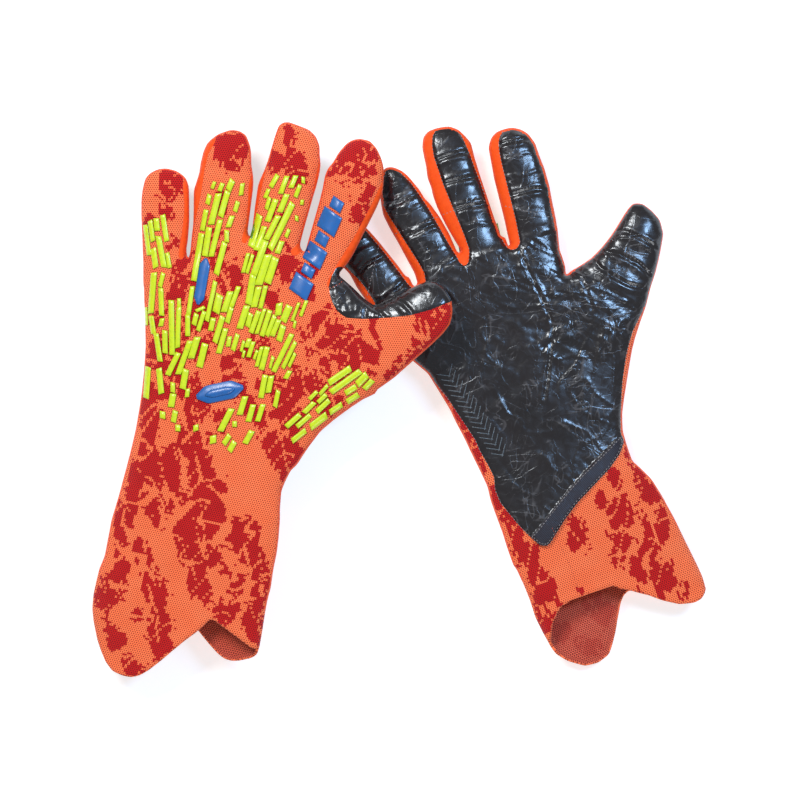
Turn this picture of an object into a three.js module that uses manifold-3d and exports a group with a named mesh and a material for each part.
import * as THREE from "three";
import Module from "manifold-3d";
import { mergeVertices } from "three/addons/utils/BufferGeometryUtils.js";

// A pair of knit goalkeeper gloves laid flat: right glove underneath with its palm up,
// left glove on top with its back up, rolled a little about its little-finger edge.
// Millimetres, +X to the right, +Y towards the fingertips, +Z up. The bounding box is
// centred on X and Y, and its lowest face is Z = 0.

// ---- driving dimensions ---------------------------------------------------------------
const HAND_T = 20; // hand thickness, palm face to knit back
const WIDE_FINGER_T = 17; // index, middle and thumb
const SLIM_FINGER_T = 15; // ring and little finger
const CUFF_T = 16; // cuff thickness at the fold
const BACK_T = 2.6; // knit back panel
const PALM_T = 4.0; // latex foam palm panel
const CUFF_WALL = 2.2; // knit cuff wall
const GUSSET_T = 2.4; // finger side gusset wall
const SIDE_T = 3.0; // hand side gusset wall
const GAP = 0.3; // between touching pieces
const SWING = 0.5; // clearance behind a joint's rounded end
const KNUCKLE_AHEAD = 5.0; // knuckle axis beyond the deeper crotch
const FILM_T = 0.5; // carrier film under the raised bars
const BAR_T = 1.1; // bar height above the film
const BADGE_T = 1.4;
const LEFT_ROLL = 10.8; // degrees, thumb side up
const LEFT_LIFT = 0.8; // lowest point of the left glove above the surface plane
const RIGHT_LIFT = 1.9; // room for the raised bars under the right glove

// Outlines: closed loops seen from above, in mm. Lists of points [x, y].
const LEFT = {
  heading: 12,
  crotch: {"pr":[-111.28,73.32],"rm":[-79.04,83.72],"mi":[-53.56,75.92],"it":[-33.28,60.32],"wrist":[-113.15,-98.8],"vtip":[-128.96,-82.16],"palm":[-102.96,-50.96]},
  fingers: [
    {"name":"thumb","heading":63,"knuckleHeading":63,"centre":[-1.26,31.84],"crotches":["it"],"lower":24,"slim":false,"side":[2.0,6]},
    {"name":"index","heading":24.5,"knuckleHeading":17,"centre":[-27.82,101.3],"crotches":["mi"],"lower":29,"slim":false,"side":[1.0,2.4]},
    {"name":"middle","heading":10,"knuckleHeading":11.2,"centre":[-59.8,108.68],"crotches":["rm","mi"],"lower":30,"slim":false,"side":[1.6,1.6]},
    {"name":"ring","heading":8,"knuckleHeading":10.4,"centre":[-91.0,108.68],"crotches":["rm","pr"],"lower":27,"slim":true,"side":[1.2,1.6]},
    {"name":"pinky","heading":0.5,"knuckleHeading":7.2,"centre":[-121.42,95.68],"crotches":["pr"],"lower":21.5,"slim":true,"side":[5,0.8]},
  ],
  outline: {
    hand: [[-152.62,-78.52],[-151.01,-70.2],[-149.66,-62.92],[-147.42,-55.64],[-145.13,-47.84],[-142.9,-39.52],[-139.72,-27.56],[-137.02,-16.12],[-135.2,-5.72],
    [-133.9,2.6],[-132.6,15.08],[-131.82,27.56],[-132.08,41.08],[-132.6,51.48],[-132.86,61.88],[-133.12,71.24],[-133.12,77.48],[-110.5,77.48],
    [-109.72,71.24],[-108.42,76.44],[-107.64,84.76],[-107.12,88.92],[-78.52,86.84],[-77.48,83.72],[-51.48,79.56],[-49.92,76.44],[-31.72,66.56],
    [-33.54,61.88],[-34.84,56.68],[-34.32,51.48],[-32.76,46.28],[-30.68,40.56],[-11.44,3.12],[-18.56,-0.16],[-25.84,-5.04],[-33.12,-10.4],[-40.4,-16.54],
    [-46.44,-24.44],[-50.08,-29.9],[-52.78,-34.16],[-55.9,-36.87],[-59.07,-43.16],[-60.84,-47.68],[-61.52,-56.68],[-61.57,-62.92],[-62.24,-72.02],
    [-63.13,-79.2],[-64.95,-88.24],[-66.56,-99.32],[-103.48,-104.52],[-155.48,-94.12]],
    pinky: [[-133.12,59.28],[-133.12,71.24],[-133.64,83.72],[-134.16,96.2],[-134.16,103.48],[-133.64,108.68],[-132.08,114.92],[-129.48,117.78],[-125.32,119.7],
    [-121.16,120.12],[-115.96,118.82],[-112.32,116.48],[-110.24,113.88],[-109.2,110.24],[-108.94,103.48],[-108.94,92.04],[-109.72,82.16],[-110.76,76.44],
    [-111.28,71.24],[-111.28,59.28]],
    ring: [[-108.16,59.28],[-108.16,71.24],[-107.64,82.16],[-106.86,92.04],[-106.7,99.32],[-106.7,108.16],[-105.3,112.68],[-103.74,117.52],[-103.12,122.36],
    [-101.66,128.44],[-100.1,132.08],[-98.02,134.52],[-94.12,137.54],[-87.72,139.72],[-83.2,139.36],[-79.2,136.92],[-77.01,130.88],[-76.54,126.0],
    [-76.54,121.16],[-75.82,117.52],[-75.4,113.36],[-75.66,108.68],[-76.54,101.92],[-77.58,93.6],[-78.52,86.84],[-79.3,82.68],[-79.56,69.68],
    [-79.56,59.28]],
    middle: [[-77.48,59.28],[-77.48,71.24],[-77.06,82.68],[-76.02,88.4],[-74.88,98.28],[-73.84,105.56],[-73.06,110.76],[-71.92,113.88],[-69.73,118.72],
    [-67.7,124.18],[-65.88,130.88],[-64.06,136.92],[-62.24,141.8],[-60.32,143.21],[-57.36,143.62],[-52.52,141.8],[-46.44,139.36],[-42.8,135.72],
    [-40.98,130.88],[-40.98,126.0],[-40.46,121.16],[-41.08,116.48],[-42.64,110.24],[-44.72,103.48],[-46.8,96.2],[-48.88,88.92],[-50.7,82.16],
    [-52.0,76.44],[-53.04,66.04],[-53.3,56.68]],
    index: [[-50.96,56.68],[-49.92,66.04],[-48.62,74.88],[-47.58,79.56],[-45.5,86.84],[-43.42,94.12],[-41.34,101.4],[-39.52,108.68],[-38.32,115.44],
    [-36.76,119.34],[-34.32,121.78],[-31.3,127.24],[-27.04,132.08],[-23.92,133.9],[-20.38,134.52],[-14.92,133.28],[-11.28,129.06],[-9.1,124.18],
    [-7.8,119.08],[-8.06,110.24],[-8.84,105.4],[-11.28,99.32],[-13.68,94.48],[-16.74,88.4],[-19.76,82.32],[-23.4,75.04],[-26.42,70.2],[-30.06,65.94],
    [-32.24,62.92],[-34.32,56.68],[-35.88,51.48]],
    thumb: [[-37.8,34.82],[-19.26,44.26],[-7.75,50.3],[4.83,56.54],[14.33,60.79],[18.64,60.36],[23.2,57.14],[26.96,51.47],[27.55,44.71],[26.38,38.63],
    [22.72,33.79],[17.83,28.96],[12.38,24.08],[7.53,19.86],[-2.96,10.55],[-10.94,5.02],[-19.85,-0.4]],
    cuffBack: [[-151.32,-73.32],[-152.88,-81.02],[-156.0,-88.24],[-157.77,-95.42],[-159.12,-101.76],[-159.74,-108.94],[-159.12,-115.28],[-157.3,-124.28],
    [-155.06,-130.52],[-152.36,-136.45],[-148.77,-140.92],[-143.36,-143.21],[-138.84,-143.94],[-134.32,-142.74],[-129.84,-140.04],[-123.5,-135.1],
    [-117.21,-129.69],[-111.8,-125.16],[-108.16,-122.46],[-105.04,-120.22],[-100.88,-116.22],[-96.93,-113.0],[-93.08,-115.7],[-87.46,-119.76],
    [-81.64,-124.02],[-77.12,-127.4],[-72.9,-129.74],[-72.12,-127.92],[-70.77,-120.64],[-69.42,-111.64],[-68.12,-104.47],[-66.3,-97.24],[-64.95,-88.24],
    [-63.44,-79.56]],
    cuffPalm: [[-151.32,-73.32],[-152.88,-81.02],[-156.0,-88.24],[-157.77,-95.42],[-159.12,-101.76],[-159.74,-108.94],[-159.12,-115.28],[-157.3,-124.28],
    [-155.48,-129.48],[-153.4,-124.8],[-149.76,-119.08],[-142.48,-114.66],[-129.48,-111.28],[-118.04,-109.72],[-111.28,-111.28],[-107.12,-115.96],
    [-102.8,-121.58],[-98.28,-126.98],[-93.76,-131.92],[-90.17,-134.63],[-86.58,-135.56],[-82.68,-135.36],[-76.65,-134.0],[-73.48,-132.39],
    [-72.12,-127.92],[-70.77,-120.64],[-69.42,-111.64],[-68.12,-104.47],[-66.3,-97.24],[-64.95,-88.24],[-63.44,-79.56]],
    latex: [[-145.24,74.54],[-144.36,61.88],[-143.74,54.83],[-142.67,47.52],[-140.77,34.73],[-136.89,25.84],[-135.69,18.45],[-134.71,10.58],[-134.32,1.85],
    [-133.92,-6.88],[-133.48,-15.63],[-134.39,-22.49],[-134.56,-31.37],[-135.05,-37.63],[-138.03,-43.6],[-139.05,-50.75],[-138.1,-57.75],[-136.79,-66.37],
    [-135.12,-73.19],[-130.71,-71.9],[-119.51,-67.71],[-107.66,-63.12],[-94.94,-59.12],[-84.26,-56.49],[-73.63,-53.84],[-67.96,-52.28],[-63.41,-46.21],
    [-58.28,-38.19],[-53.53,-31.1],[-49.03,-25.31],[-44.39,-19.61],[-39.16,-14.25],[-35.92,-10.56],[-25.79,-3.3],[-21.66,43.96],[-67.11,89.47],
    [-122.4,98.43]],
    band: [[-134.94,-73.79],[-130.5,-72.57],[-119.33,-68.3],[-107.47,-63.72],[-94.82,-59.73],[-84.17,-57.15],[-73.52,-54.46],[-67.82,-52.85],[-67.34,-56.29],
    [-72.68,-60.84],[-81.47,-64.66],[-93.89,-68.18],[-104.86,-71.29],[-115.1,-75.51],[-122.63,-79.36],[-127.3,-81.77],[-129.69,-82.52],[-132.9,-80.29]],
    latexband: [[-145.24,74.54],[-144.36,61.88],[-143.74,54.83],[-142.67,47.52],[-140.77,34.73],[-136.89,25.84],[-135.69,18.45],[-134.71,10.58],[-134.32,1.85],
    [-133.92,-6.88],[-133.48,-15.63],[-134.39,-22.49],[-134.56,-31.37],[-135.05,-37.63],[-138.03,-43.6],[-139.05,-50.75],[-138.1,-57.75],[-136.79,-66.37],
    [-134.94,-73.79],[-132.9,-80.29],[-129.69,-82.52],[-127.3,-81.77],[-122.63,-79.36],[-115.1,-75.51],[-104.86,-71.29],[-93.89,-68.18],[-81.47,-64.66],
    [-72.68,-60.84],[-67.34,-56.29],[-66.89,-52.01],[-63.41,-46.21],[-58.28,-38.19],[-53.53,-31.1],[-49.03,-25.31],[-44.39,-19.61],[-39.16,-14.25],
    [-35.92,-10.56],[-25.79,-3.3],[-21.66,43.96],[-67.11,89.47],[-122.4,98.43]],
    edgeOuter: [[-156.0,-89.96],[-152.62,-78.52],[-151.01,-70.2],[-149.66,-62.92],[-147.42,-55.64],[-145.13,-47.84],[-142.9,-39.52],[-139.72,-27.56],
    [-137.02,-16.12],[-135.2,-5.72],[-133.9,2.6],[-132.6,15.08],[-131.82,27.56],[-132.08,41.08],[-132.6,51.48],[-132.86,61.88],[-133.12,71.24],
    [-133.12,77.48]],
    edgeThumb: [[-11.7,3.12],[-18.56,-0.16],[-25.84,-5.04],[-33.12,-10.4],[-40.4,-16.54],[-46.44,-24.44],[-50.08,-29.9],[-52.78,-34.16],[-55.9,-36.87],
    [-59.07,-43.16],[-60.84,-47.68],[-61.52,-56.68],[-61.57,-62.92],[-62.24,-72.02],[-63.13,-79.2],[-64.95,-88.24],[-66.56,-99.32]],
    cuffEdgeOuter: [[-157.3,-123.24],[-159.12,-115.28],[-159.74,-108.94],[-159.12,-101.76],[-157.77,-95.42],[-156.0,-88.24],[-152.88,-81.02],[-151.32,-73.32]],
    cuffEdgeThumb: [[-63.44,-79.56],[-64.95,-88.24],[-66.3,-97.24],[-68.12,-104.47],[-69.42,-111.64],[-70.77,-120.64],[-71.76,-125.84]],
    film: [[-134.68,103.48],[-51.48,103.48],[-46.28,54.08],[-51.48,35.88],[-52.52,9.88],[-35.88,20.28],[-2.08,12.48],[-2.08,-0.52],[-35.88,-29.12],
    [-56.68,-23.92],[-61.88,-13.52],[-71.24,-16.12],[-82.68,-32.76],[-100.88,-31.72],[-121.68,-21.32],[-137.28,-13.52],[-135.72,77.48]],
    badge: [[-104.78,1.15],[-101.81,6.3],[-86.19,9.62],[-81.38,6.13],[-84.35,0.98],[-99.97,-2.34]],
  },
};

const RIGHT = {
  heading: -19,
  crotch: {"pr":[6.76,58.76],"rm":[33.8,71.24],"mi":[57.2,79.56],"it":[86.84,68.12],"wrist":[99.63,-81.64],"vtip":[77.48,-75.4],"palm":[83.72,-35.36]},
  fingers: [
    {"name":"thumb","heading":27.8,"knuckleHeading":27.8,"centre":[123.69,80.12],"crotches":["it"],"lower":23,"slim":false,"side":[1.0,6]},
    {"name":"index","heading":-11.6,"knuckleHeading":-16,"centre":[65.52,108.68],"crotches":["mi"],"lower":28,"slim":false,"side":[1.2,3]},
    {"name":"middle","heading":-15.6,"knuckleHeading":-18.2,"centre":[32.24,108.68],"crotches":["rm","mi"],"lower":29,"slim":false,"side":[1.6,1.2]},
    {"name":"ring","heading":-28,"knuckleHeading":-19,"centre":[4.68,96.2],"crotches":["rm","pr"],"lower":27,"slim":true,"side":[1.6,1.6]},
    {"name":"pinky","heading":-37.5,"knuckleHeading":-25,"centre":[-17.94,72.54],"crotches":["pr"],"lower":21.5,"slim":true,"side":[5,1.2]},
  ],
  outline: {
    hand: [[59.8,-87.36],[56.52,-78.16],[53.77,-69.32],[50.44,-60.42],[47.68,-52.68],[46.02,-45.45],[42.64,-38.22],[38.79,-30.47],[33.8,-19.92],[29.38,-11.6],
    [26.57,-5.51],[21.32,3.12],[15.08,13.26],[7.28,19.76],[2.6,24.44],[-2.08,30.16],[-6.76,36.92],[-10.92,42.12],[-14.14,47.84],[-18.2,53.04],[5.2,63.96],
    [7.54,58.24],[9.88,59.8],[8.32,64.48],[32.24,76.44],[34.06,70.72],[35.36,71.24],[33.28,77.48],[55.12,84.76],[56.94,79.04],[58.5,79.56],[56.16,86.84],
    [82.42,89.96],[83.62,77.48],[85.02,73.84],[86.58,69.16],[86.84,62.92],[124.28,36.92],[123.08,32.6],[121.26,25.32],[120.02,18.04],[118.82,10.76],
    [117.26,1.04],[116.17,-7.44],[116.38,-15.96],[117.62,-20.8],[119.24,-26.0],[121.42,-32.14],[125.84,-36.04],[131.4,-41.55],[136.97,-50.44],
    [141.96,-59.8],[146.12,-68.12],[104.52,-94.12],[62.92,-99.32]],
    pinky: [[14.56,45.24],[10.4,51.48],[6.76,58.66],[3.74,63.54],[-1.09,70.2],[-5.98,76.28],[-10.82,82.32],[-15.65,87.78],[-20.02,91.78],[-24.44,94.38],
    [-30.68,95.16],[-35.88,93.34],[-39.0,89.96],[-39.78,84.76],[-37.44,79.04],[-29.64,69.16],[-25.58,65.0],[-21.94,58.08],[-17.16,51.22],[-13.62,47.06],
    [-7.8,38.48]],
    ring: [[37.44,52.52],[34.58,61.88],[32.5,70.2],[30.94,75.04],[26.16,85.96],[21.32,94.48],[16.12,101.76],[13.52,104.16],[10.56,109.04],[7.54,112.68],
    [5.1,115.7],[1.72,118.72],[-3.12,120.8],[-6.76,120.64],[-8.84,118.56],[-9.88,114.4],[-10.14,108.68],[-9.36,101.76],[-8.22,95.68],[-4.58,88.4],
    [-0.31,81.12],[3.9,73.22],[8.16,65.36],[10.14,60.48],[13.52,52.52],[16.12,45.24]],
    middle: [[58.76,61.88],[56.94,71.24],[55.12,79.92],[53.04,84.76],[49.5,94.48],[45.86,105.4],[42.22,116.32],[39.0,126.88],[37.54,133.28],[34.48,136.92],
    [30.84,140.35],[26.0,142.01],[19.92,141.18],[15.08,139.36],[12.64,136.34],[12.06,130.88],[13.26,124.8],[14.09,121.16],[14.82,115.08],[16.74,110.24],
    [17.78,105.4],[20.02,99.32],[24.23,90.84],[29.12,82.32],[32.76,76.28],[34.58,71.4],[37.7,62.92],[39.52,56.68]],
    index: [[86.84,59.28],[85.28,68.12],[83.62,77.48],[82.42,87.2],[81.8,93.24],[79.98,101.76],[78.16,111.44],[75.76,119.96],[73.32,126.0],[70.88,133.28],
    [67.24,138.16],[63.6,140.35],[58.76,141.44],[53.92,140.35],[50.28,138.74],[47.84,135.72],[46.54,130.88],[48.1,122.36],[49.4,115.08],[51.22,107.8],
    [53.04,100.52],[54.86,93.24],[56.42,85.96],[57.72,80.5],[59.8,71.24],[61.88,61.88]],
    thumb: [[123.24,32.76],[125.48,39.88],[128.54,48.36],[130.94,58.08],[133.38,65.36],[135.2,72.64],[136.4,78.68],[137.64,85.96],[135.82,93.24],[131.56,98.12],
    [126.72,101.76],[121.84,101.97],[119.44,99.32],[117.0,95.68],[113.36,89.6],[109.72,84.14],[104.88,78.1],[100.0,73.22],[94.54,69.58],[88.92,66.3],
    [83.72,59.8]],
    cuffBack: [[53.77,-69.32],[56.52,-78.16],[60.42,-87.05],[64.84,-96.46],[68.17,-104.78],[70.98,-113.67],[74.83,-121.42],[78.16,-127.56],[81.48,-132.55],
    [88.14,-136.4],[97.03,-138.84],[103.69,-137.18],[109.2,-133.07],[110.92,-128.08],[112.58,-121.42],[113.67,-114.76],[115.34,-105.92],[117.0,-101.92],
    [120.12,-99.32],[125.32,-100.88],[135.72,-103.22],[146.12,-104.26],[153.4,-103.48],[156.52,-101.4],[158.08,-97.24],[157.56,-92.56],[154.7,-85.38],
    [149.19,-74.31],[143.62,-62.66],[138.32,-53.04]],
    cuffPalm: [[53.77,-69.32],[56.52,-78.16],[60.42,-87.05],[64.84,-96.46],[68.17,-104.78],[70.98,-113.67],[74.83,-121.42],[77.74,-126.62],[78.26,-123.66],
    [79.3,-117.0],[80.96,-112.58],[83.72,-107.59],[89.28,-104.26],[97.03,-101.45],[104.78,-98.7],[111.44,-96.46],[114.76,-98.12],[120.33,-99.01],
    [128.08,-100.88],[136.97,-104.26],[145.86,-106.24],[153.61,-105.35],[157.51,-103.12],[159.69,-98.7],[158.03,-92.56],[154.7,-85.38],[149.19,-74.31],
    [143.62,-62.66],[138.32,-53.04]],
    latex: [[-17.16,50.44],[-9.88,40.04],[-5.72,34.32],[-1.04,28.6],[7.18,18.62],[15.08,13.0],[19.92,7.28],[24.8,1.04],[29.64,-6.24],[34.48,-13.52],
    [39.36,-20.8],[42.12,-27.14],[46.54,-34.84],[49.35,-40.46],[49.87,-47.11],[52.68,-53.77],[57.1,-59.28],[62.66,-65.99],[67.6,-70.98],[70.72,-67.6],
    [78.16,-58.24],[85.96,-48.2],[94.8,-38.22],[102.6,-30.47],[110.34,-22.72],[114.4,-18.46],[115.18,-10.92],[115.44,-1.4],[115.86,7.12],[116.74,14.4],
    [117.78,21.68],[119.5,28.96],[120.38,33.8],[125.32,45.24],[104.52,87.88],[42.12,103.48],[-9.88,82.68]],
    band: [[68.07,-71.4],[71.24,-68.07],[78.62,-58.66],[86.42,-48.62],[95.21,-38.69],[103.01,-30.99],[110.76,-23.19],[114.82,-18.88],[117.0,-21.58],
    [114.76,-28.24],[109.2,-36.04],[100.36,-45.45],[92.56,-53.77],[85.96,-62.66],[81.48,-69.84],[78.73,-74.31],[77.06,-76.18],[73.16,-75.92]],
    latexband: [[-17.16,50.44],[-9.88,40.04],[-5.72,34.32],[-1.04,28.6],[7.18,18.62],[15.08,13.0],[19.92,7.28],[24.8,1.04],[29.64,-6.24],[34.48,-13.52],
    [39.36,-20.8],[42.12,-27.14],[46.54,-34.84],[49.35,-40.46],[49.87,-47.11],[52.68,-53.77],[57.1,-59.28],[62.66,-65.99],[68.07,-71.4],[73.16,-75.92],
    [77.06,-76.18],[78.73,-74.31],[81.48,-69.84],[85.96,-62.66],[92.56,-53.77],[100.36,-45.45],[109.2,-36.04],[114.76,-28.24],[117.0,-21.58],
    [115.18,-17.68],[115.18,-10.92],[115.44,-1.4],[115.86,7.12],[116.74,14.4],[117.78,21.68],[119.5,28.96],[120.38,33.8],[125.32,45.24],[104.52,87.88],
    [42.12,103.48],[-9.88,82.68]],
    edgeOuter: [[61.36,-89.96],[59.8,-87.36],[56.52,-78.16],[53.77,-69.32],[50.44,-60.42],[47.68,-52.68],[46.02,-45.45],[42.64,-38.22],[38.79,-30.47],[33.8,-19.92],
    [29.38,-11.6],[26.57,-5.51],[21.32,3.12],[15.08,13.26],[7.28,19.76],[2.6,24.44],[-2.08,30.16],[-6.76,36.92],[-10.92,42.12],[-14.14,47.84],
    [-17.16,51.48]],
    edgeThumb: [[124.28,36.92],[123.08,32.6],[121.26,25.32],[120.02,18.04],[118.82,10.76],[117.26,1.04],[116.17,-7.44],[116.38,-15.96],[117.62,-20.8],[119.24,-26.0],
    [121.42,-32.14],[125.84,-36.04],[131.4,-41.55],[136.97,-50.44],[141.96,-59.8],[146.12,-68.12]],
    cuffEdgeOuter: [[74.83,-121.42],[70.98,-113.67],[68.17,-104.78],[64.84,-96.46],[60.42,-87.05],[56.52,-78.16],[53.77,-69.32]],
    cuffEdgeThumb: [[138.32,-53.04],[143.62,-62.66],[149.19,-74.31],[154.7,-85.38],[157.82,-92.56],[158.6,-96.2]],
    film: [[-23.01,80.68],[48.3,123.54],[78.2,83.87],[83.12,65.59],[95.62,42.77],[104.53,60.25],[137.52,70.98],[144.21,59.83],[129.97,17.91],[109.46,11.65],
    [99.65,17.89],[92.97,10.84],[91.73,-9.31],[75.59,-17.8],[52.41,-19.6],[35.02,-20.94],[-10.51,57.86]],
    badge: [[55.32,8.37],[55.22,14.32],[66.89,25.21],[72.81,24.69],[72.92,18.74],[61.24,7.85]],
  },
};

// Raised bars on the left back: centre x, centre y, direction in degrees, length, width.
const BAR_LIST = [[-49.4,112.94,90.0,3.28,1.61],[-64.48,112.63,60.0,7.07,2.24],[-54.5,112.11,68.0,6.66,2.24],[-96.1,110.71,68.0,3.74,1.61],
    [-87.2,110.71,67.0,5.67,2.76],[-92.09,109.62,68.0,4.32,2.08],[-81.33,108.47,82.0,6.08,1.98],[-52.21,107.28,69.0,6.6,1.92],
    [-98.64,103.38,77.0,5.04,2.08],[-50.02,101.5,82.0,2.65,1.56],[-59.7,101.09,68.0,9.67,2.6],[-90.48,100.93,74.0,13.26,2.7],
    [-84.08,99.58,73.0,5.36,2.08],[-95.32,98.38,76.0,15.91,2.86],[-65.78,97.4,69.0,11.86,2.62],[-52.78,93.24,90.0,2.76,1.56],
    [-100.93,92.66,79.0,10.56,2.24],[-87.31,91.78,71.0,6.14,2.34],[-125.68,90.48,95.0,6.34,2.55],[-60.68,89.13,64.0,25.53,2.91],
    [-121.47,88.66,99.0,13.31,2.39],[-65.42,88.45,63.0,13.42,2.6],[-57.51,85.54,67.0,4.37,1.72],[-89.08,84.24,90.0,6.06,2.11],
    [-94.9,83.2,76.0,18.82,2.44],[-61.62,78.31,69.0,6.6,2.5],[-123.29,76.39,101.0,15.86,2.6],[-104.26,73.48,81.0,23.92,2.65],
    [-126.83,73.16,98.0,9.78,2.62],[-71.92,73.01,71.0,18.03,3.06],[-92.3,72.8,75.0,16.55,2.62],[-119.5,71.92,100.0,7.75,1.98],
    [-69.99,66.66,72.0,15.96,3.38],[-65.78,66.4,72.0,13.47,3.33],[-123.08,61.72,76.0,7.28,2.03],[-84.71,52.88,70.0,10.81,2.18],
    [-107.95,50.91,82.0,14.38,2.11],[-97.19,50.6,78.0,20.25,2.05],[-123.24,50.34,92.0,13.73,2.34],[-88.82,50.28,72.0,10.76,2.76],
    [-113.88,49.82,90.0,4.54,1.79],[-93.65,49.3,78.0,9.31,3.38],[-49.14,46.8,69.0,8.48,1.56],[-53.35,44.88,69.0,9.83,1.42],[-58.08,44.04,67.0,8.57,3.17],
    [-87.67,43.47,74.0,8.15,2.27],[-131.3,43.0,93.0,10.4,1.56],[-80.39,42.28,72.0,12.09,2.87],[-105.4,41.24,76.0,5.88,2.34],
    [-102.28,40.35,72.0,10.38,2.03],[-123.08,39.73,78.0,4.06,2.13],[-96.67,38.64,78.0,6.6,2.39],[-53.77,38.53,76.0,3.83,1.31],
    [-109.3,38.06,90.0,10.6,2.26],[-114.3,37.13,88.0,20.28,2.23],[-117.68,37.02,91.0,27.04,2.54],[-93.13,35.98,73.0,13.57,2.55],
    [-91.36,30.06,74.0,12.9,2.44],[-87.88,29.69,80.0,5.2,2.03],[-121.21,29.64,91.0,11.44,2.44],[-84.55,29.33,73.0,8.53,2.18],
    [-105.87,26.57,73.0,11.22,2.96],[-59.96,23.82,64.0,20.72,2.34],[-56.63,22.72,64.0,14.66,1.92],[-101.71,22.57,76.0,12.17,3.02],
    [-111.18,21.48,70.0,17.66,2.54],[-65.1,20.38,70.0,2.28,1.3],[-55.12,20.12,65.0,7.54,1.56],[-117.0,18.1,64.0,12.41,2.49],[-57.36,12.53,62.0,4.58,2.13],
    [-30.52,12.06,34.0,13.21,2.91],[-19.03,9.98,45.0,7.12,3.22],[-123.76,9.36,96.0,12.69,2.65],[-15.7,7.38,47.0,6.14,2.5],[-117.1,5.98,90.0,5.04,2.13],
    [-24.8,4.68,32.0,6.45,2.6],[-17.89,0.42,35.0,19.66,2.65],[-23.82,0.36,33.0,6.86,2.55],[-63.08,0.16,78.0,8.48,2.13],[-117.47,-0.68,80.0,6.81,2.91],
    [-80.81,-3.38,73.0,9.62,2.65],[-39.1,-3.64,43.0,8.58,2.39],[-32.5,-4.89,34.0,7.38,2.5],[-71.55,-7.07,72.0,9.0,2.39],[-76.49,-7.23,74.0,8.89,2.55],
    [-122.46,-8.22,90.0,3.64,2.5],[-116.27,-9.0,79.0,5.93,2.44],[-89.39,-10.82,63.0,12.64,2.76],[-54.55,-11.18,41.0,9.26,2.44],
    [-41.44,-11.44,37.0,10.09,3.12],[-84.86,-12.9,90.0,2.96,2.13],[-105.04,-14.92,90.0,3.12,2.34],[-114.4,-14.98,90.0,3.28,2.34],
    [-51.58,-18.93,38.0,8.68,2.44],[-77.64,-19.66,61.0,7.33,2.6],[-96.1,-20.9,90.0,4.0,2.86],[-89.02,-20.96,56.0,5.62,2.39],
    [-86.22,-24.44,61.0,5.67,2.55],[-59.48,110.5,69.8,9.42,2.24],[-68.31,106.21,68.5,4.85,1.84],[-67.67,101.08,74.2,6.34,1.83],
    [-130.78,82.55,97.7,15.25,2.13],[-128.44,87.23,98.5,10.52,2.24],[-99.39,81.38,81.2,14.47,2.76],[-74.3,86.91,75.2,16.56,3.12],
    [-71.7,83.01,70.8,12.68,2.49],[-79.23,70.33,75.0,10.1,1.74],[-77.03,69.81,71.8,9.79,1.58],[-76.51,56.48,80.5,14.9,3.02],
    [-73.64,52.65,76.3,10.44,2.76],[-70.2,52.59,76.1,11.69,2.11],[-77.35,40.76,75.7,7.05,2.37],[-74.42,39.78,69.9,11.55,2.34],
    [-71.44,40.11,72.2,13.09,1.78],[-68.7,39.13,72.3,13.49,2.29],[-66.11,37.83,68.7,10.95,2.07],[-63.7,36.66,67.6,8.87,2.34],
    [-62.01,46.28,83.2,6.25,2.81],[-60.77,33.93,74.2,8.11,2.76],[-80.8,27.3,74.8,5.63,1.41],[-77.94,28.93,70.6,4.73,2.14],[-76.44,25.61,72.1,8.21,2.02],
    [-80.21,23.27,75.1,3.68,1.3],[-73.97,22.88,70.7,4.95,1.38],[-72.09,21.91,74.9,10.3,1.75],[-69.48,21.06,75.4,11.82,2.5],[-65.78,18.98,76.0,6.31,1.3],
    [-70.14,6.5,79.1,11.65,2.5],[-66.62,7.61,78.7,8.62,2.5],[-127.98,38.48,98.9,9.07,2.38],[-124.87,26.78,98.8,14.25,2.38],[-131.5,57.66,83.7,17.66,2.76],
    [-127.98,55.05,85.2,20.22,2.76],[-130.78,8.58,86.2,15.63,2.76],[-111.09,10.34,80.4,10.0,2.87],[-109.46,3.19,83.1,4.32,1.98],
    [-44.2,1.89,45.9,5.46,1.84],[-38.8,4.68,48.8,6.13,1.66],[-39.59,0.26,44.1,5.8,2.02],[-46.28,-4.42,45.0,7.35,2.24],[-49.14,-11.25,40.9,8.94,2.24],
    [-39.13,-15.67,39.4,25.22,1.98],[-27.43,8.91,35.4,18.18,2.76],[-102.77,46.54,24.6,4.85,1.55]];

const ROLL_FROM = [-157.04,-107.64], ROLL_TO = [-133.12,98.28];


// ---- solids -----------------------------------------------------------------------------
const wasm = await Module();
wasm.setup();
const { Manifold, Mesh } = wasm;

function solid(geometry) {
  const plain = new THREE.BufferGeometry();
  const src = geometry.index ? geometry.toNonIndexed() : geometry;
  plain.setAttribute("position", src.getAttribute("position"));
  const g = mergeVertices(plain, 1e-4);
  return new Manifold(
    new Mesh({ numProp: 3, vertProperties: g.attributes.position.array, triVerts: new Uint32Array(g.index.array) }),
  );
}

function area(poly) {
  let a = 0;
  poly.forEach(([x, y], i) => {
    const [u, v] = poly[(i + 1) % poly.length];
    a += x * v - u * y;
  });
  return a / 2;
}
const ccw = (poly) => (area(poly) < 0 ? [...poly].reverse() : poly);

function prism(poly, z0, z1) {
  const shape = new THREE.Shape(ccw(poly).map(([x, y]) => new THREE.Vector2(x, y)));
  const g = new THREE.ExtrudeGeometry(shape, { depth: z1 - z0, bevelEnabled: false });
  g.translate(0, 0, z0);
  return solid(g);
}

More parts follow.
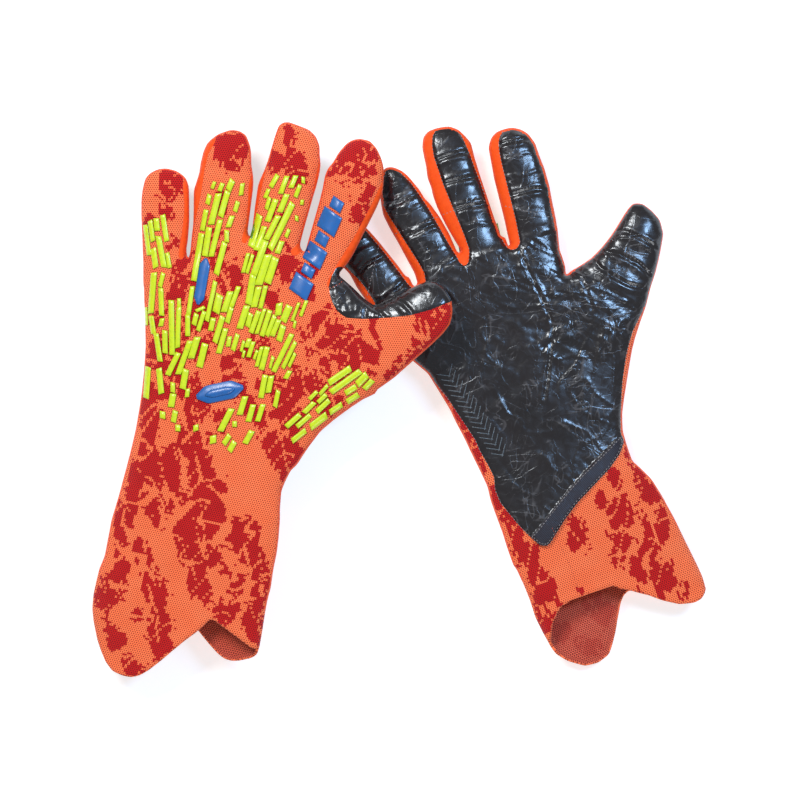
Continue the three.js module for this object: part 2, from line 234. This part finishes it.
// Moves each side of a closed outline inwards by d (outwards when d < 0).
function inset(poly, d) {
  const p = ccw(poly);
  const n = p.length;
  return p.map(([x, y], i) => {
    const [ax, ay] = p[(i + n - 1) % n];
    const [bx, by] = p[(i + 1) % n];
    let ux = x - ax, uy = y - ay, vx = bx - x, vy = by - y;
    const ul = Math.hypot(ux, uy), vl = Math.hypot(vx, vy);
    ux /= ul; uy /= ul; vx /= vl; vy /= vl;
    let nx = -uy - vy, ny = ux + vx;
    const nl = Math.hypot(nx, ny) || 1;
    nx /= nl; ny /= nl;
    const cosHalf = Math.max(0.5, nx * -uy + ny * ux);
    return [x + (nx * d) / cosHalf, y + (ny * d) / cosHalf];
  });
}

// A wall that follows an open line, t thick, on the line's right hand side when side = 1.
function wallStrip(line, t, side) {
  const n = line.length;
  const off = line.map(([x, y], i) => {
    const [ax, ay] = line[Math.max(0, i - 1)];
    const [bx, by] = line[Math.min(n - 1, i + 1)];
    const l = Math.hypot(bx - ax, by - ay);
    return [x + (side * t * (by - ay)) / l, y - (side * t * (bx - ax)) / l];
  });
  return [...line, ...off.reverse()];
}

const rad = (deg) => (deg * Math.PI) / 180;
// Unit vector for a heading in degrees, 0 = +Y, positive turns towards +X.
const ahead = (deg) => [Math.sin(rad(deg)), Math.cos(rad(deg))];
const across = (deg) => [Math.cos(rad(deg)), -Math.sin(rad(deg))];

// The slab of space beyond a hinge line: points whose distance ahead of the line lies in
// [from, to] and whose distance across lies in [left, right].
function beyond(h, from, to, left = -160, right = 160) {
  const [nx, ny] = ahead(h.heading), [ax, ay] = across(h.heading);
  const at = (n, a) => [h.x + nx * n + ax * a, h.y + ny * n + ay * a];
  return prism([at(from, left), at(from, right), at(to, right), at(to, left)], -60, 60);
}

// The rounded end of a moving segment, about its own hinge axis.
function nose(h, r, left, right) {
  const g = new THREE.CylinderGeometry(r - 0.02, r - 0.02, right - left, 28);
  g.rotateZ(Math.PI / 2);
  g.translate((left + right) / 2, 0, 0);
  g.rotateX(rad(180 / 28));
  g.rotateZ(-rad(h.heading));
  g.translate(h.x, h.y, h.z);
  return solid(g);
}

function childZone(h, r, left = -60, right = 60) {
  return beyond(h, 0, 260, left, right).add(nose(h, r, left, right));
}
const parentZone = (h, r, left = -160, right = 160) => beyond(h, -260, -(r + SWING), left, right);

const group = new THREE.Group();
const meshes = [];
function addMesh(name, s, colour, roughness, parent) {
  const m = s.getMesh();
  const g = new THREE.BufferGeometry();
  const n = m.numProp;
  const v = new Float32Array(m.numVert * 3);
  for (let i = 0; i < m.numVert; i++) v.set(m.vertProperties.subarray(i * n, i * n + 3), i * 3);
  g.setAttribute("position", new THREE.BufferAttribute(v, 3));
  g.setIndex(new THREE.BufferAttribute(new Uint32Array(m.triVerts), 1));
  const mesh = new THREE.Mesh(
    g.toNonIndexed(),
    new THREE.MeshStandardMaterial({ color: colour, roughness, metalness: 0, flatShading: true }),
  );
  mesh.name = name;
  parent.add(mesh);
  meshes.push(mesh);
  return mesh;
}

const KNIT = 0xf2643c, LATEX = 0x1d1d20, GUSSET = 0xe85a12, BARS = 0xc6e021, BLUE = 0x2a62b5;

// ---- one glove --------------------------------------------------------------------------
// o: outlines, c: crotch points, backUp: which face is up, hand: heading of the hand axis.
function glove(side, o, c, fingers, handHeading, backUp, parent) {
  const T = HAND_T, zc = T / 2;
  // z range measured from the palm face of the hand
  const zr = (lo, hi) => (backUp ? [lo, hi] : [T - hi, T - lo]);
  const slab = (poly, lo, hi) => prism(poly, ...zr(lo, hi));
  const axes = {};

  // fingers and thumb
  const cuts = [];
  for (const f of fingers) {
    const r = f.t / 2;
    const lo = zc - r, hi = zc + r; // from the palm face
    const hinge = (point, n, heading, cx, cy) => {
      // the hinge point is on the finger's centre line, n ahead of point along heading
      const [nx, ny] = ahead(heading), [dx, dy] = ahead(f.heading);
      const need = (point[0] - cx) * nx + (point[1] - cy) * ny + n;
      const k = need / (dx * nx + dy * ny);
      return { x: cx + dx * k, y: cy + dy * k, z: zc, heading };
    };
    const [cx, cy] = f.centre;
    const hk = f.knuckleHeading;
    const [nx, ny] = ahead(hk);
    const deep = f.crotches.map((p) => c[p]).reduce((a, b) => (a[0] * nx + a[1] * ny > b[0] * nx + b[1] * ny ? a : b));
    const K = hinge(deep, f.ahead, hk, cx, cy);
    const [dx, dy] = ahead(f.heading);
    const M = { x: K.x + dx * f.lower, y: K.y + dy * f.lower, z: zc, heading: f.heading };
    axes[f.name] = { K, M };

    const outline = o[f.name];
    const back = slab(outline, lo + PALM_T + GAP, hi).subtract(
      slab(inset(outline, GUSSET_T), lo, hi - BACK_T),
    );
    const palm = slab(outline, lo, lo + PALM_T);
    const lowerZone = childZone(K, r).intersect(parentZone(M, r, -60, 60));
    const upperZone = childZone(M, r);
    let lowerBack = back.intersect(lowerZone);
    const lowerPalm = palm.intersect(lowerZone);
    // raised bars on the back of the lower segment
    if (f.bars && f.bars.length) {
      const keep = slab(inset(outline, 1.2), hi - 1.0, hi + BAR_T).intersect(beyond(K, 1.0, 200)).intersect(parentZone(M, r, -60, 60));
      for (const b of f.bars) {
        const piece = barSolid(b, zr(hi - 0.6, hi + BAR_T)).intersect(keep);
        if (piece.volume() > 3) lowerBack = lowerBack.add(piece);
      }
    }
    addMesh(`${side}_${f.name}_lower_back`, biggest(lowerBack), KNIT, 0.85, parent);
    addMesh(`${side}_${f.name}_lower_palm`, biggest(lowerPalm), LATEX, 0.35, parent);
    addMesh(`${side}_${f.name}_upper_back`, biggest(back.intersect(upperZone)), KNIT, 0.85, parent);
    addMesh(`${side}_${f.name}_upper_palm`, biggest(palm.intersect(upperZone)), LATEX, 0.35, parent);
    // room that this segment takes out of the hand
    const a = outline.map(([x, y]) => (x - K.x) * across(hk)[0] + (y - K.y) * across(hk)[1]);
    const near = outline
      .filter(([x, y]) => Math.abs((x - K.x) * nx + (y - K.y) * ny) < 14)
      .map(([x, y]) => (x - K.x) * across(hk)[0] + (y - K.y) * across(hk)[1]);
    const left = Math.min(...near) - f.side[0], right = Math.max(...near) + f.side[1];
    cuts.push(beyond(K, -(r + SWING), 200, left, right));
  }

  // cuff hinge
  const rc = CUFF_T / 2;
  const [wx, wy] = c.wrist;
  const W = { x: wx, y: wy, z: zc, heading: handHeading + 180 };
  axes.cuff = { K: W };
  const cuffSide = childZone(W, rc, -140, 140);
  const handSide = parentZone(W, rc);

  let trim = handSide;
  for (const k of cuts) trim = trim.subtract(k);
  const handShape = o.hand;
  const inHand = (s) => s.intersect(trim);

  // hand
  addMesh(`${side}_backhand_knit`, biggest(inHand(slab(handShape, T - BACK_T, T))), KNIT, 0.85, parent);
  const latex = inHand(slab(o.latex, 0, PALM_T)).intersect(slab(handShape, -1, T));
  addMesh(`${side}_palm_latex`, biggest(latex), LATEX, 0.35, parent);
  const knitPalm = inHand(slab(handShape, 0.6, PALM_T))
    .subtract(slab(inset(o.latexband, -0.35), -1, PALM_T + 1));
  addMesh(`${side}_palm_knit`, biggest(knitPalm), KNIT, 0.85, parent);
  addMesh(
    `${side}_palm_hem_band`,
    biggest(inHand(slab(o.band, -0.6, PALM_T)).intersect(slab(handShape, -1, T))),
    LATEX, 0.45, parent,
  );
  const wallZ = [PALM_T + GAP, T - BACK_T - GAP];
  addMesh(`${side}_side_gusset_outer`, biggest(inHand(slab(wallStrip(o.edgeOuter, SIDE_T, 1), ...wallZ))), GUSSET, 0.8, parent);
  addMesh(`${side}_side_gusset_thumb`, biggest(inHand(slab(wallStrip(o.edgeThumb, SIDE_T, 1), ...wallZ))), GUSSET, 0.8, parent);

  // raised bars on the back of the hand: one thin film with the bars standing on it
  const film = inHand(slab(inset(handShape, 1.5), T + GAP, T + GAP + FILM_T)).intersect(slab(o.film, -50, 50));
  const bed = inHand(slab(inset(handShape, 1.5), T, T + 6)).intersect(slab(o.film, -50, 50)).subtract(slab(o.badge, -1, T + 9));
  let bars = film.subtract(slab(inset(o.badge, -0.4), T, T + 9));
  for (const b of o.bars) {
    const piece = barSolid(b, zr(T + GAP + 0.1, T + GAP + FILM_T + BAR_T)).intersect(bed);
    if (piece.volume() > 2) bars = bars.add(piece);
  }
  bars = bars.subtract(slab(inset(o.badge, -0.4), T, T + 9));
  addMesh(`${side}_backhand_bars`, biggest(bars), BARS, 0.3, parent);
  addMesh(`${side}_backhand_badge`, slab(o.badge, T + GAP, T + GAP + BADGE_T), BLUE, 0.35, parent);

  // cuff: a channel of knit (back and both sides) with a knit panel on the palm side
  const cLo = zc - rc, cHi = zc + rc;
  const sideLen = slab(wallStrip(o.cuffEdgeOuter, CUFF_WALL, 1), cLo + CUFF_WALL + GAP, cHi).add(
    slab(wallStrip(o.cuffEdgeThumb, CUFF_WALL, 1), cLo + CUFF_WALL + GAP, cHi),
  );
  const cuffBack = slab(o.cuffBack, cHi - CUFF_WALL, cHi).add(sideLen).intersect(cuffSide);
  addMesh(`${side}_cuff_back`, biggest(cuffBack), KNIT, 0.85, parent);
  addMesh(`${side}_cuff_front`, biggest(slab(o.cuffPalm, cLo, cLo + CUFF_WALL).intersect(cuffSide)), KNIT, 0.85, parent);
  return axes;
}

function biggest(s) {
  const parts = s.decompose();
  if (parts.length === 1) return parts[0];
  parts.sort((a, b) => b.volume() - a.volume());
  return parts[0];
}

function barSolid([x, y, deg, l, w], [z0, z1]) {
  const c = Math.cos(rad(deg)), s = Math.sin(rad(deg));
  const at = (u, v) => [x + c * u - s * v, y + s * u + c * v];
  const lean = Math.min(1.2, l * 0.12); // slanted ends
  return prism(
    [at(-l / 2 + lean, -w / 2), at(l / 2, -w / 2), at(l / 2 - lean, w / 2), at(-l / 2, w / 2)],
    z0, z1,
  );
}

const inside = (poly, x, y) => {
  let hit = false;
  for (let i = 0, j = poly.length - 1; i < poly.length; j = i++) {
    const [xi, yi] = poly[i], [xj, yj] = poly[j];
    if (yi > y !== yj > y && x < ((xj - xi) * (y - yi)) / (yj - yi) + xi) hit = !hit;
  }
  return hit;
};

// The left glove's bars, carried to the right glove by mirroring across the hand axis.
function handToHand([x, y]) {
  const l = LEFT.crotch.palm, r = RIGHT.crotch.palm;
  const [lax, lay] = across(LEFT.heading), [lnx, lny] = ahead(LEFT.heading);
  const [rax, ray] = across(RIGHT.heading), [rnx, rny] = ahead(RIGHT.heading);
  const u = (x - l[0]) * lax + (y - l[1]) * lay, n = (x - l[0]) * lnx + (y - l[1]) * lny;
  return [r[0] + rax * u + rnx * n, r[1] + ray * u + rny * n];
}
const rightBars = BAR_LIST.map(([x, y, deg, l, w]) => [...handToHand([x, y]), deg + (LEFT.heading - RIGHT.heading), l, w]);

function fingerList(spec, bars) {
  return spec.fingers.map((f) => ({
    ...f,
    t: f.slim ? SLIM_FINGER_T : WIDE_FINGER_T,
    ahead: KNUCKLE_AHEAD,
    bars: f.name === "thumb" || f.name === "index" ? [] : bars.filter(([x, y]) => inside(spec.outline[f.name], x, y)),
  }));
}

const leftGlove = new THREE.Group();
const rightGlove = new THREE.Group();
LEFT.outline.bars = BAR_LIST;
RIGHT.outline.bars = rightBars;
export const leftAxes = glove("left", LEFT.outline, LEFT.crotch, fingerList(LEFT, BAR_LIST), LEFT.heading, true, leftGlove);
export const rightAxes = glove("right", RIGHT.outline, RIGHT.crotch, fingerList(RIGHT, rightBars), RIGHT.heading, false, rightGlove);

// ---- lay the gloves down ------------------------------------------------------------------
// The left glove rolls about its little-finger edge so its thumb side clears the right glove.
const rollAxis = new THREE.Vector3(...ROLL_TO, 0).sub(new THREE.Vector3(...ROLL_FROM, 0)).normalize();
export const leftPlace = new THREE.Matrix4()
  .makeTranslation(ROLL_FROM[0], ROLL_FROM[1], LEFT_LIFT)
  .multiply(new THREE.Matrix4().makeRotationAxis(rollAxis, -rad(LEFT_ROLL)))
  .multiply(new THREE.Matrix4().makeTranslation(-ROLL_FROM[0], -ROLL_FROM[1], 0));
export const rightPlace = new THREE.Matrix4().makeTranslation(0, 0, RIGHT_LIFT);
leftPlace.decompose(leftGlove.position, leftGlove.quaternion, leftGlove.scale);
rightPlace.decompose(rightGlove.position, rightGlove.quaternion, rightGlove.scale);
group.add(leftGlove, rightGlove);
group.updateMatrixWorld(true);
const box = new THREE.Box3().setFromObject(group, true);
export const shift = new THREE.Vector3(-(box.min.x + box.max.x) / 2, -(box.min.y + box.max.y) / 2, -box.min.z);
group.position.copy(shift);
group.updateMatrixWorld(true);

export default group;
